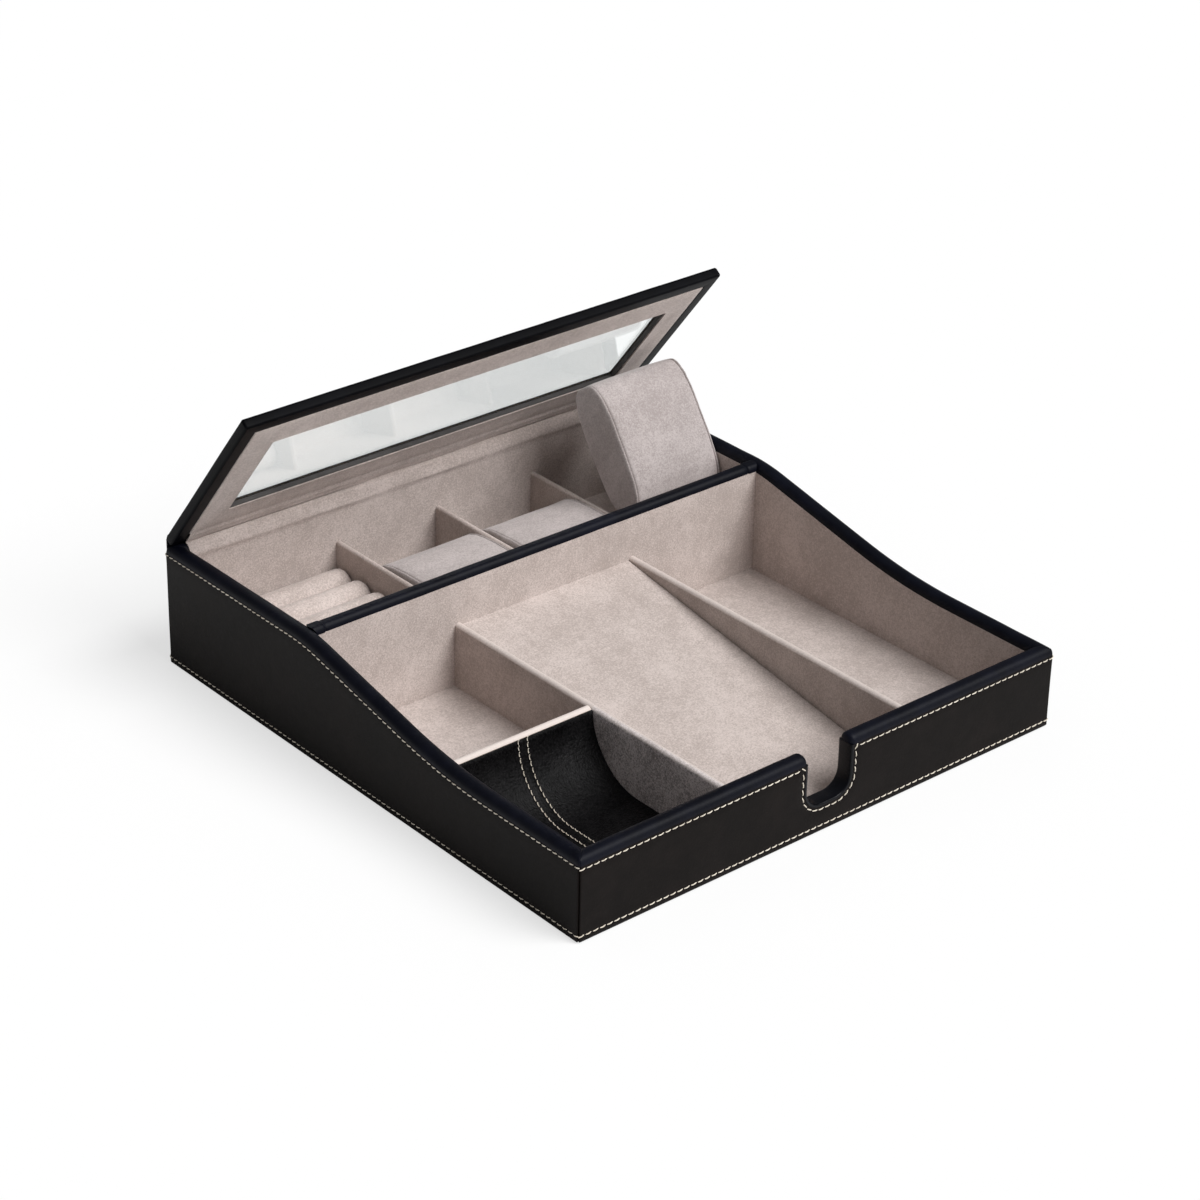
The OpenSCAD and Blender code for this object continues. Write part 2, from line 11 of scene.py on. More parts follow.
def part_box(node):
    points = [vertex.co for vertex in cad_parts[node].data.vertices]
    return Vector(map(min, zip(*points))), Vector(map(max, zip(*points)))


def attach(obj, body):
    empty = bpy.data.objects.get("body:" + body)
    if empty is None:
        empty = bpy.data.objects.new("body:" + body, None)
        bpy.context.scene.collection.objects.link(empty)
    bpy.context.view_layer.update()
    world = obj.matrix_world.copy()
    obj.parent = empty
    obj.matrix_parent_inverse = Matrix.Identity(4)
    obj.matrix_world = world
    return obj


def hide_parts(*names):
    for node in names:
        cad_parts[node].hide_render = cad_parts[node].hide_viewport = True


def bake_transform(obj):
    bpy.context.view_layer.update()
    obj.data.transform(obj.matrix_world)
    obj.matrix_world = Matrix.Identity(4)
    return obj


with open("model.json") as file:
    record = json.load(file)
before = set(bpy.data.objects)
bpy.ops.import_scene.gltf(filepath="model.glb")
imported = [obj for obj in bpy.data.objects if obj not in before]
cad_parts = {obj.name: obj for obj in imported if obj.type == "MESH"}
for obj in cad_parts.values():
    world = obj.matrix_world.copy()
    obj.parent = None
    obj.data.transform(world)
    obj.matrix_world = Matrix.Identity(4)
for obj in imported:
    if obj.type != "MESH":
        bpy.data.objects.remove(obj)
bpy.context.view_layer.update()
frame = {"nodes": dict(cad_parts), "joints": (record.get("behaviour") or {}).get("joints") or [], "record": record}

scene = bpy.context.scene
nodes = frame["nodes"]
joints = {joint["name"]: joint for joint in frame["joints"]}
MM = 0.001
UP = Vector((0, 0, 1))

# Sizes of the box, measured on its solids
half_w = -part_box("left_leather")[0].x
half_d = -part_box("front_leather")[0].y
skin_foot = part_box("front_leather")[0].z
inner_back_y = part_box("back_lining")[0].y
wall_t = half_d - inner_back_y
low_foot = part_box("front_rim_left")[0].z
high_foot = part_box("back_rim")[0].z
rim_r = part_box("back_rim")[1].z - high_foot
divider_low, divider_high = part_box("divider_rim")
notch_half = -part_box("front_rim_left")[1].x
binding_low, binding_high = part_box("notch_binding")
binding_t = binding_high.x - notch_half
notch_low = binding_low.z + binding_t

# Sizes that the solids' boxes don't show
corner_r = 1.5 * MM
low_bend_r = 300 * MM
high_bend_r = 100 * MM
drop_run = 144 * MM
drop_past_divider = 2 * MM
notch_r = 9 * MM
skin_t = 1.4 * MM
edge_band = 5.5 * MM
window_border = 24 * MM
turn_in = 8 * MM
lid_corner_r = 1.3 * MM
window_corner_r = 1 * MM

# Stitches. A thread of stitch_share of the pitch is laid at each pitch, a little aslant.
side_stitch_under_rim = 0.7 * MM
front_stitch_under_rim = 1.4 * MM
bottom_stitch_up = 3 * MM
stitch_end = 1.8 * MM
stitch_proud = 0.05 * MM
front_pitch = 3.93 * MM
side_pitch = 3.6 * MM
scoop_pitch = 3 * MM
thread_r = 0.26 * MM
scoop_thread_r = 0.23 * MM
stitch_share = 0.74
stitch_slant = math.radians(8)

# Colours of suede: pairs of dark and light nap, a paler and greyer pair painted as fill light, and the painted
# highlight on the top edge of the low walls
linings = (0.426, 0.361, 0.332, 1), (0.622, 0.541, 0.507, 1)
partitions = (0.390, 0.326, 0.297, 1), (0.572, 0.495, 0.460, 1)
pillow_covers = (0.350, 0.306, 0.296, 1), (0.50, 0.446, 0.436, 1)
painted_fill_light_nap = (0.34, 0.30, 0.30, 1), (0.86, 0.79, 0.79, 1)
painted_top_highlight = (0.84, 0.75, 0.70, 1)
painted_top_highlight_from_z = 37.2 * MM

# Light. All that falls on a level face is level_light, and fill_strength is the room's share of it.
level_light = 1.03
fill_strength = 0.18
floor_whitening = 0.66
key_from = (0.30, -0.62, 0.80)
key_width_deg = 42

drop_high_y = divider_high.y + drop_past_divider
drop_low_y = drop_high_y - drop_run
bend_sum = low_bend_r + high_bend_r
bend_rise = bend_sum - (high_foot - low_foot)
lean = math.atan2(drop_run, bend_rise) - math.acos(bend_sum / math.hypot(bend_rise, drop_run))


def side_foot(y):
    """Height of the foot of a side rim at y, down the slow S-shaped drop."""
    low_run, high_run = low_bend_r * math.sin(lean), high_bend_r * math.sin(lean)
    if y <= drop_low_y:
        return low_foot
    if y < drop_low_y + low_run:
        return low_foot + low_bend_r - math.sqrt(low_bend_r ** 2 - (y - drop_low_y) ** 2)
    if y >= drop_high_y:
        return high_foot
    if y > drop_high_y - high_run:
        return high_foot - high_bend_r + math.sqrt(high_bend_r ** 2 - (drop_high_y - y) ** 2)
    return low_foot + low_bend_r * (1 - math.cos(lean)) + (y - drop_low_y - low_run) * math.tan(lean)


# Finishes

def put(tree, socket, value):
    """Gives a node's input its value, or a link from another node's output."""
    if isinstance(value, Field):
        value = value.socket
    if isinstance(value, bpy.types.NodeSocket):
        tree.links.new(value, socket)
    else:
        socket.default_value = value


def add_node(tree, kind, inputs=(), **settings):
    """Adds a node, makes its settings, fills its inputs by name or in order, and gives its outputs."""
    node = tree.nodes.new(kind)
    for name, value in settings.items():
        setattr(node, name, value)
    for key, value in inputs.items() if isinstance(inputs, dict) else enumerate(inputs):
        put(tree, node.inputs[key], value)
    return node.outputs


class Field:
    """A value that changes over a surface. Sums on it add Math nodes to its finish."""

    def __init__(self, finish, socket):
        self.finish = finish
        self.socket = socket

    def math(self, operation, *values):
        return self.finish.add("ShaderNodeMath", values, operation=operation)

    def __add__(self, other):
        return self.math("ADD", self, other)

    def __rsub__(self, other):
        return self.math("SUBTRACT", other, self)

    def __mul__(self, other):
        return self.math("MULTIPLY", self, other)

    __radd__ = __add__

    def spread(self, low, high):
        """0 at low and under, 1 at high and over, and smooth between."""
        inputs = {"Value": self, "From Min": low, "From Max": high}
        return self.finish.add("ShaderNodeMapRange", inputs, interpolation_type="SMOOTHSTEP")


class Finish:
    """A material round one Principled shader, with its pattern on Object coordinates."""

    def __init__(self, name, **fixed):
        self.material = bpy.data.materials.new(name)
        self.material.use_nodes = True
        self.tree = self.material.node_tree
        self.shader = self.tree.nodes["Principled BSDF"]
        self.set(**fixed)
        self.place = self.add("ShaderNodeTexCoord", output="Object")

    def set(self, **values):
        """Fills inputs of the shader, named with an underscore for each space, and gives the material."""
        for words, value in values.items():
            put(self.tree, self.shader.inputs[words.replace("_", " ")], value)
        return self.material

    def add(self, kind, inputs=(), output=0, **settings):
        return Field(self, add_node(self.tree, kind, inputs, **settings)[output])

    def stretched(self, scale, turn=(0, 0, 0)):
        inputs = {"Vector": self.place, "Scale": scale, "Rotation": turn}
        return self.add("ShaderNodeMapping", inputs, vector_type="TEXTURE")

    def noise(self, size, detail=2.0, rough=0.55, place=None):
        """Soft patches of about this size."""
        inputs = {"Vector": place or self.place, "Scale": 1 / size, "Detail": detail, "Roughness": rough}
        return self.add("ShaderNodeTexNoise", inputs)

    def cells(self, size, feature="F1", place=None):
        inputs = {"Vector": place or self.place, "Scale": 1 / size}
        return self.add("ShaderNodeTexVoronoi", inputs, feature=feature)

    def mix(self, share, first, second):
        return self.add("ShaderNodeMix", {0: share, 6: first, 7: second}, output=2, data_type="RGBA")

    def along(self, axis):
        """Position along an axis of the frame, in metres."""
        return self.add("ShaderNodeSeparateXYZ", {"Vector": self.place}, output=axis)

    def bump(self, height, depth, strength):
        inputs = {"Height": height, "Distance": depth, "Strength": strength}
        self.set(Normal=self.add("ShaderNodeBump", inputs))


def smooth_leather(name, dark, pale, rough, specular):
    """Smooth dyed leather: fine pores, soft patches of shine, and a little wear."""
    finish = Finish(name, Specular_IOR_Level=specular)
    patches = finish.noise(38 * MM, 3)
    wear = finish.noise(9 * MM, 5, 0.65)
    pores = finish.cells(0.85 * MM)
    creases = finish.noise(2.6 * MM, 4, 0.6)
    tone = finish.mix((patches * 0.6 + wear * 0.4).spread(0.38, 0.68), dark, pale)
    finish.bump(pores * 0.35 + creases * 0.65, 0.16 * MM, 0.5)
    return finish.set(Base_Color=tone, Roughness=rough - 0.07 + patches * 0.1 + creases * 0.06)


def pebbled_leather(name, dark, pale):
    """Leather with a fine raised pebble grain, and soft patches where it is rubbed."""
    finish = Finish(name, Specular_IOR_Level=0.085)
    warp = finish.noise(2.2 * MM, 2)
    push = finish.add("ShaderNodeCombineXYZ", (warp, warp, warp))
    bent = finish.add("ShaderNodeVectorMath", (push, (0.9 * MM,) * 3, finish.place), operation="MULTIPLY_ADD")
    pebbles = finish.cells(1.0 * MM, "SMOOTH_F1", bent)
    small = finish.cells(0.6 * MM, "F1", bent)
    rubbed = finish.noise(16 * MM, 3)
    relief = (1 - pebbles) * 0.65 + (1 - small) * 0.35
    tone = finish.mix((relief * 0.6 + rubbed * 0.4).spread(0.35, 0.8), dark, pale)
    finish.bump(relief, 0.42 * MM, 1.0)
    return finish.set(Base_Color=tone, Roughness=0.5 - rubbed * 0.14)


def suede(name, dark, light, top_highlight_share=0.0, painted_fill_light_from=None):
    """Brushed microsuede: nap laid in soft patches, with fine fibres. Above a given height the top edge is painted
    paler, a painted highlight.
    Left of and in front of a given point the colour is painted paler and greyer, as painted fill light."""
    finish = Finish(name, Roughness=0.95, Specular_IOR_Level=0.12, Sheen_Weight=0.2, Sheen_Roughness=0.55)
    patches = finish.noise(26 * MM, 2.5, 0.5)
    brushed = finish.noise(5 * MM, 4, 0.62, finish.stretched((1, 1, 1.7), (0.5, 0.3, 0.4)))
    speckle = finish.noise(0.95 * MM, 3, 0.75)
    fibres = finish.noise(0.5 * MM, 2, 0.6, finish.stretched((1.6, 0.8, 1)))
    lay = (patches * 0.17 + brushed * 0.15 + speckle * 0.42 + fibres * 0.26).spread(0.42, 0.585)
    tone = finish.mix(lay, dark, light)
    # Painted fill light: where the wall faces into the coin bay, its colour is painted paler and greyer.
    if painted_fill_light_from:
        sides = [1 - finish.along(axis).spread(at - 0.5 * MM, at + 0.5 * MM)
                 for axis, at in zip("XY", painted_fill_light_from)]
        tone = finish.mix(sides[0] * sides[1], tone, finish.mix(lay, *painted_fill_light_nap))
    # Painted highlight: the top edge of the wall is painted paler, where it catches the light.
    if top_highlight_share:
        edge = finish.along("Z").spread(painted_top_highlight_from_z, painted_top_highlight_from_z + 0.7 * MM)
        tone = finish.mix(edge * top_highlight_share, tone, painted_top_highlight)
    finish.bump(brushed * 0.3 + speckle * 0.45 + fibres * 0.25, 0.45 * MM, 0.6)
    return finish.set(Base_Color=tone)


def flecked(name, grain, dark, light, depth, strength, **fixed):
    """A dull material flecked by one noise, whose size, detail and roughness are its grain."""
    finish = Finish(name, **fixed)
    flecks = finish.noise(*grain)
    finish.bump(flecks, depth, strength)
    return finish.set(Base_Color=finish.mix(flecks.spread(0.3, 0.7), dark, light))


def thread(name, dark, light):
    """Waxed thread: fine strands, and worn lengths."""
    finish = Finish(name, Roughness=0.75, Specular_IOR_Level=0.3, Sheen_Weight=0.2)
    strands = finish.noise(0.35 * MM, 2, 0.6)
    worn = finish.noise(30 * MM, 2)
    finish.bump(strands, 0.12 * MM, 0.6)
    return finish.set(Base_Color=finish.mix((strands * 0.6 + worn * 0.4).spread(0.3, 0.65), dark, light))


leather = {part: smooth_leather(part + "_leather", *look) for part, look in {
    "wall": ((0.0040, 0.0028, 0.0024, 1), (0.0078, 0.0056, 0.0050, 1), 0.5, 0.08),
    # rim: near-black leather with a blue tint that is painted sheen, the blue the rim tops catch from above
    "rim": ((0.0016, 0.0020, 0.0050, 1), (0.0040, 0.0048, 0.0110, 1), 0.48, 0.12),
    # lid: a darker copy of the black leather, painted shade for the lid's edges and under side
    "lid": ((0.0010, 0.0011, 0.0018, 1), (0.0024, 0.0026, 0.0042, 1), 0.45, 0.05),
    "lid_face": ((0.0048, 0.0031, 0.0026, 1), (0.0092, 0.0063, 0.0054, 1), 0.5, 0.09),
    "binding": ((0.0010, 0.0012, 0.0022, 1), (0.0026, 0.0030, 0.0052, 1), 0.3, 0.16),
    "trim": ((0.058, 0.054, 0.053, 1), (0.086, 0.081, 0.079, 1), 0.6, 0.1),
}.items()}
scoop_leather = pebbled_leather("scoop_leather", (0.0010, 0.0009, 0.0011, 1), (0.0120, 0.0115, 0.0121, 1))
lining_suede = suede("lining_suede", *linings)
low_wall_suede = suede("low_wall_suede", *partitions)
# Painted highlight on the tops of the rest walls and the coin wall.
rest_wall_suede = suede("rest_wall_suede", *partitions, top_highlight_share=0.45)
rest_left_x = sum(corner.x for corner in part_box("rest_left_wall")) / 2
# The rest's left wall carries painted fill light on its face in the coin bay.
rest_left_suede = suede("rest_left_suede", *partitions, top_highlight_share=0.45,
                        painted_fill_light_from=(rest_left_x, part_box("coin_bay_wall")[0].y))
coin_wall_suede = suede("coin_wall_suede", *partitions, top_highlight_share=0.75)
pillow_suede = suede("pillow_suede", *pillow_covers)
base_felt = flecked("base_felt", (0.9 * MM, 4, 0.7), (0.012, 0.012, 0.012, 1), (0.045, 0.043, 0.042, 1),
                    0.5 * MM, 0.7, Roughness=1.0, Specular_IOR_Level=0.1)
board = flecked("board", (0.8 * MM, 3, 0.6), (0.30, 0.20, 0.11, 1), (0.47, 0.34, 0.2, 1),
                0.1 * MM, 0.5, Roughness=0.8)
stitch_thread = thread("stitch_thread", (0.52, 0.45, 0.36, 1), (0.88, 0.81, 0.69, 1))
glass = Finish("glass", Roughness=0.02, IOR=1.45, Transmission_Weight=1.0,
               Base_Color=(0.93, 0.955, 0.95, 1)).material

node_finishes = {
    "black_leather": leather["wall"], "pebbled_leather": scoop_leather, "taupe_suede": lining_suede,
    "pillow_suede": pillow_suede, "board": board, "felt": base_felt, "glass": glass,
}
for subpart in frame["record"]["subparts"]:
    mesh = nodes[subpart["node"]].data
    mesh.materials.clear()
    mesh.materials.append(node_finishes[subpart["material_slot"]])
nodes["window_trim"].data.materials[0] = leather["trim"]


# Meshes

def rumple(point, size, depth):
    """A soft unevenness of about this size and depth, always the same at one place."""
    return depth * noise.noise(Vector(point) / size)


def blunt(numbers, power):
    """Numbers whose size is raised to a power, with their sign kept."""
    return np.copysign(np.abs(numbers) ** power, numbers)


def steps(start, end, size):
    """Evenly spaced numbers from start to end, about size apart."""
    return list(np.linspace(start, end, max(2, round(abs(end - start) / size) + 1)))


def shell(name, grid, ring=False):
    """A skin over grid[section point][station]. Its two ends are closed, or joined where it is a ring."""
    grid = np.array(grid)
    rows, columns = grid.shape[:2]
    faces = []
    for i in range(rows):
        j = (i + 1) % rows
        for k in range(columns if ring else columns - 1):
            m = (k + 1) % columns
            faces.append((i * columns + k, i * columns + m, j * columns + m, j * columns + k))
    if not ring:
        faces.append([i * columns for i in range(rows)])
        faces.append([i * columns + columns - 1 for i in reversed(range(rows))])
    mesh = bpy.data.meshes.new(name)
    mesh.from_pydata([tuple(point) for point in grid.reshape(-1, 3)], [], faces)
    whole = bmesh.new()
    whole.from_mesh(mesh)
    bmesh.ops.remove_doubles(whole, verts=whole.verts, dist=1e-7)
    bmesh.ops.recalc_face_normals(whole, faces=whole.faces)
    whole.to_mesh(mesh)
    whole.free()
    return mesh


def placed(name, data):
    """A new object in the scene."""
    made = bpy.data.objects.new(name, data)
    scene.collection.objects.link(made)
    return made


def finished(name, form, material, body, replaced=(), sharp=40, ring=False):
    """Puts a mesh, or the skin over a grid, in the scene as a piece of the object."""
    mesh = form if isinstance(form, bpy.types.Mesh) else shell(name, form, ring)
    piece = placed(name, mesh)
    mesh.materials.append(material)
    mesh.shade_smooth()
    mesh.set_sharp_from_angle(angle=math.radians(sharp))
    if body:
        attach(piece, body)
    if replaced:
        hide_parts(*replaced)
    return piece


# Outer walls

class Wall:
    """An outer wall seen from outside. s runs along it from its left corner, and depth runs inward.
    Its rim's foot is level at foot, or follows the drop of the sides where foot is None."""

    def __init__(self, corner, along, foot=None):
        self.corner = Vector(corner)
        self.along = Vector(along)
        self.inward = UP.cross(self.along)
        self.length = 2 * (half_w if abs(along[0]) else half_d)
        self.foot = foot

    def at(self, s, z, depth):
        """The point of the row frame, with the corners' rounding and mitres."""
        near = min(s, self.length - s)
        settled = wall_t + 1.5 * MM
        reach, across = near, depth
        if depth < corner_r and near < corner_r:
            turn = math.radians(45) * (1 - near / corner_r)
            reach = corner_r - (corner_r - depth) * math.sin(turn)
            across = corner_r - (corner_r - depth) * math.cos(turn)
        elif depth >= corner_r and near < settled:
            reach = depth + near * (settled - depth) / settled
        if s > self.length / 2:
            reach = self.length - reach
        return self.corner + self.along * reach + self.inward * across + UP * z

    def foot_at(self, s):
        """Height of the rim's foot at s, and how far the rim tilts there along s."""
        if self.foot is not None:
            return self.foot, 0.0
        here = self.at(s, 0, 0).y
        small = 0.2 * MM
        slope = (side_foot(here + small) - side_foot(here - small)) / (2 * small)
        return side_foot(here), math.atan(slope * self.along.y)


walls = {
    "front": Wall((-half_w, -half_d, 0), (1, 0, 0), low_foot),
    "right": Wall((half_w, -half_d, 0), (0, 1, 0)),
    "back": Wall((half_w, half_d, 0), (-1, 0, 0), high_foot),
    "left": Wall((-half_w, half_d, 0), (0, -1, 0)),
}
corner_stations = [s * MM for s in (0, 0.2, 0.4, 0.7, 1.1, 1.6, 2.25, 3, 4.5, 7, 10.1)]


def stations(length, size):
    """Places along a wall: close together round its corners, and about size apart between them."""
    middle = steps(corner_stations[-1], length - corner_stations[-1], size)
    return corner_stations[:-1] + middle + [length - s for s in reversed(corner_stations[:-1])]


def half_round(r):
    """Section of a padded rim as (across, up): a full half circle, tucked in at its foot."""
    tuck_in, tuck_down = 0.55 * MM, 0.45 * MM
    section = [(-r * blunt(math.cos(turn), 0.88), r * blunt(math.sin(turn), 0.94))
               for turn in np.linspace(0, math.pi, 17)]
    return [(tuck_in - r, -tuck_down)] + section + [(r - tuck_in, -tuck_down)]


def padded_rim(side, part="", start=None, end=None):
    """A stuffed leather rim on top of a wall. Where it stops short of a corner, its end is domed."""
    wall = walls[side]
    dome = 2.4 * MM
    tip = 0.12
    domed = [(dome * (1 - math.sin(t)), tip + (1 - tip) * math.cos(t) ** 0.6)
             for t in np.linspace(0, math.pi / 2, 7)]
    places = [(s, 1.0) for s in stations(wall.length, 2.5 * MM)]
    if end is not None:
        places = [place for place in places if place[0] < end - dome - MM]
        places += [(end - inset, share) for inset, share in domed]
    if start is not None:
        places = [place for place in places if place[0] > start + dome + MM]
        places = [(start + inset, share) for inset, share in reversed(domed)] + places
    grid = []
    for across, up in half_round(rim_r):
        row = []
        for s, share in places:
            near = min(s, wall.length - s)
            swell = share * (1 - 0.06 * math.exp(-near / (0.7 * MM)))
            foot, tilt = wall.foot_at(s)
            point = wall.at(s, foot, wall_t / 2 + across * swell)
            swell += rumple((s, across, wall.corner.x + wall.corner.y), 14 * MM, 0.03)
            point += (UP * math.cos(tilt) - wall.along * math.sin(tilt)) * up * swell
            row.append(point)
        grid.append(row)
    finished(f"{side}_padded_rim{part}", grid, leather["rim"], "tray", [f"{side}_rim{part}"])


def straight_edge(wall):
    """The upper edge of a plain wall's leather, as (s, z, normal s, normal z, s at the bottom)."""
    edge = []
    for s in stations(wall.length, 3 * MM):
        foot, tilt = wall.foot_at(s)
        edge.append((s, foot, math.sin(tilt), -math.cos(tilt), s))
    return edge


def notch_outline(centre, grow):
    """The U of the cable notch from its left top to its right top, as (s, z, normal s, normal z)."""
    half = notch_half + grow
    low = notch_low - grow
    r = notch_r + grow
    left = [(centre - half, z, -1, 0) for z in steps(low_foot, low + r, 2 * MM)]
    for turn in np.radians(range(190, 280, 10)):
        left.append((centre - half + r + r * math.cos(turn), low + r + r * math.sin(turn),
                     math.cos(turn), math.sin(turn)))
    right = [(2 * centre - s, z, -ns, nz) for s, z, ns, nz in reversed(left)]
    middle = [(s, low, 0, -1) for s in steps(left[-1][0], right[0][0], 2 * MM)[1:-1]]
    return left + middle + right


def notched_edge(wall):
    """The upper edge of the front leather: along the rim, round the notch, and on."""
    centre = wall.length / 2
    gap = notch_half + binding_t
    fade = 6 * MM
    spread = 22 * MM
    plain = [s for s in stations(wall.length, 3 * MM) if s < centre - gap - spread]
    near = steps(centre - gap - spread, centre - gap, 2 * MM)
    left = [(s, low_foot, 0, -1) for s in plain + near[:-1]]
    path = left + notch_outline(centre, binding_t)
    path += [(2 * centre - s, z, ns, nz) for s, z, ns, nz in reversed(left)]
    lengths = [0.0]
    for a, b in zip(path, path[1:]):
        lengths.append(lengths[-1] + math.hypot(b[0] - a[0], b[1] - a[1]))
    first = len(plain)
    turn_at = len(left) + sum(1 for s, z, ns, nz in notch_outline(centre, 0) if ns == -1 and nz == 0) - 1
    turn_s = centre - gap - edge_band
    tops = {len(left): -1, len(path) - 1 - len(left): 1}
    edge = []
    for i, (s, z, ns, nz) in enumerate(path):
        for top, side in tops.items():
            close = max(0.0, 1 - abs(lengths[i] - lengths[top]) / fade)
            if close and nz == -1 and abs(s - centre) >= gap - 1e-6:
                ns = side * close
            elif close and abs(ns) == 1:
                nz = -close
            if i == top:
                ns, nz = side, -1
        mirrored = s > centre
        j = len(path) - 1 - i if mirrored else i
        bottom = path[j][0]
        if first <= j <= turn_at:
            share = (lengths[j] - lengths[first]) / (lengths[turn_at] - lengths[first])
            bottom = path[first][0] + share * (turn_s - path[first][0])
        elif j > turn_at:
            bottom += path[j][2] * edge_band
        if mirrored:
            bottom = 2 * centre - bottom
        edge.append((s, z, ns, nz, bottom))
    return edge


def wall_skin(name, wall, edge, stitch):
    """The leather of an outer wall: rolled at its edges, drawn in along its stitch lines."""
    pull, groove = 0.16 * MM, 0.22 * MM
    slack, unevenness = 0.05 * MM, 0.13 * MM
    corner_pinch, pinch_reach = 0.9 * MM, 0.42 * MM
    back = skin_t - 0.1 * MM
    low_z = skin_foot + edge_band
    under = [(0, 1.1), (0, 0.5), (0.12, 0.15), (0.5, 0), (2.3, 0), (2.75, 0.08), (3, 0.16), (3.25, 0.08),
             (3.7, 0)]
    over = [(stitch + 0.5 * MM, 0), (stitch + groove, pull / 2), (stitch, pull), (stitch - groove, pull / 2),
            (stitch - 0.42 * MM, 0), (0.1 * MM, 0.1 * MM), (0, 0.45 * MM), (0, back)]
    rows = [[(b, skin_foot + up * MM, depth * MM, False) for s, z, ns, nz, b in edge] for up, depth in under]
    for share in np.linspace(0, 1, 8):
        rows.append([(b + (s + ns * edge_band - b) * share,
                      low_z + (z + nz * edge_band - low_z) * share, 0, True) for s, z, ns, nz, b in edge])
    rows += [[(s + ns * off, z + nz * off, depth, False) for s, z, ns, nz, b in edge] for off, depth in over]
    rows.append([(b, skin_foot, back, False) for s, z, ns, nz, b in edge])
    grid = []
    for row in rows:
        points = []
        for s, z, depth, free in row:
            ends = min(s, wall.length - s)
            if free:
                depth += slack + rumple((s, z, wall.corner.y), 32 * MM, unevenness)
            depth += corner_pinch * math.exp(-(ends / pinch_reach) ** 2)
            points.append(wall.at(s, z, max(depth, 0.0)))
        grid.append(points)
    finished(name + "_skin", grid, leather["wall"], "tray", [name + "_leather"])


front_seams, side_seams = [], []
for name, wall in walls.items():
    seams = side_seams if wall.foot is None else front_seams
    stitch = front_stitch_under_rim if name == "front" else side_stitch_under_rim
    edge = notched_edge(wall) if name == "front" else straight_edge(wall)
    wall_skin(name, wall, edge, stitch)
    outside = -wall.inward
    first, last = stitch_end, wall.length - stitch_end
    upper = [(s + ns * stitch, z + nz * stitch) for s, z, ns, nz, b in edge if first + MM < s < last - MM]
    ends = [(s, wall.foot_at(s)[0] - stitch) for s in (first, last)]
    lower = [(s, skin_foot + bottom_stitch_up) for s in steps(first, last, 3 * MM)]
    for line in (ends[:1] + upper + ends[1:], lower):
        seams.append(([wall.at(s, z, -stitch_proud) for s, z in line], outside))

for side in ("left", "right", "back"):
    padded_rim(side)
padded_rim("front", "_left", end=half_w - notch_half)
padded_rim("front", "_right", start=half_w + notch_half)


def notch_edge_roll():
    """The leather that wraps the cut of the cable notch, a little proud in the middle."""
    outline = notch_outline(walls["front"].length / 2, 0)
    section = [(0, 1.35), (0, 0.6), (0.12, 0.25), (0.4, 0.05), (1.0, -0.08), (wall_t / MM / 2, -0.16)]
    section += [(wall_t / MM - depth, inset) for depth, inset in reversed(section[:-1])]
    grid = [[walls["front"].at(s + ns * inset * MM, z + nz * inset * MM, depth * MM)
             for s, z, ns, nz in outline] for depth, inset in section]
    finished("notch_roll", grid, leather["binding"], "tray", ["notch_binding"])


def inner_wall_rim():
    """The padded rim over the inner wall. Its ends follow the side rims, each under a wrapped collar."""
    middle_y = (divider_low.y + divider_high.y) / 2
    top_z = divider_high.z - 0.1 * MM
    collar = 5 * MM
    collar_groove = 5.4 * MM
    near_end = [u * MM for u in (0, 0.8, 1.2, 1.6, 3, 4.4, 4.8, 5.1, 5.5, 6.2, 8)]
    length = divider_high.x - divider_low.x
    places = near_end + steps(10 * MM, length - 10 * MM, 3 * MM) + [length - u for u in reversed(near_end)]
    grid = []
    for across, up in half_round((divider_high.y - divider_low.y) / 2):
        row = []
        reach = rim_r - math.sqrt(rim_r ** 2 - max(up, 0) ** 2)
        for u in places:
            near = min(u, length - u)
            swell = 1 + rumple((u, across, 0), 16 * MM, 0.03)
            swell += 0.05 * (1 - math.tanh((near - collar) / (0.3 * MM)))
            swell -= 0.07 * math.exp(-((near - collar_groove) / (0.4 * MM)) ** 2)
            beyond = reach * max(0.0, 1 - near / (4 * MM))
            x = divider_low.x + u + (beyond if u > length / 2 else -beyond)
            row.append((x, middle_y + across * swell, min(divider_low.z + up * swell, top_z)))
        grid.append(row)
    finished("inner_wall_padded_rim", grid, leather["rim"], "tray", ["divider_rim"])


notch_edge_roll()
inner_wall_rim()


# Low suede walls

def low_suede_wall(node, material):
    """A thin board wrapped in suede, with a rounded top and slightly soft faces."""
    low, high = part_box(node)
    long, thin = (0, 1) if high.x - low.x > high.y - low.y else (1, 0)
    middle = (low[thin] + high[thin]) / 2
    half = (high[thin] - low[thin]) / 2
    shoulder = high.z - half
    section = [(-half, z) for z in steps(low.z, shoulder, 5 * MM)]
    section += [(-half * math.cos(t), shoulder + half * math.sin(t))
                for t in np.linspace(0, math.pi, 11)[1:-1]]
    section += [(half, z) for z in steps(shoulder, low.z, 5 * MM)]
    grid = []
    for across, z in section:
        row = []
        for u in steps(low[long], high[long], 4 * MM):
            soft = rumple((u, z, across * 40), 20 * MM, 0.12 * MM)
            v = middle + across - math.copysign(abs(soft), across)
            row.append((v, u, z) if long else (u, v, z))
        grid.append(row)
    finished(node + "_suede", grid, material, "tray", [node], sharp=50)


for node, material in {
    "rest_left_wall": rest_left_suede, "rest_right_wall": rest_wall_suede, "ring_bay_wall": low_wall_suede,
    "left_watch_bay_wall": low_wall_suede, "right_watch_bay_wall": low_wall_suede,
    "coin_bay_wall": coin_wall_suede,
}.items():
    low_suede_wall(node, material)


# Coin scoop

scoop_low, scoop_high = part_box("coin_scoop")
scoop_below_wall = 1.3 * MM
scoop_r = scoop_high.z - scoop_low.z - skin_t
scoop_seam_x = (scoop_low.x + scoop_high.x) / 2 - 1.2 * MM
scoop_seam_half = 2.6 * MM


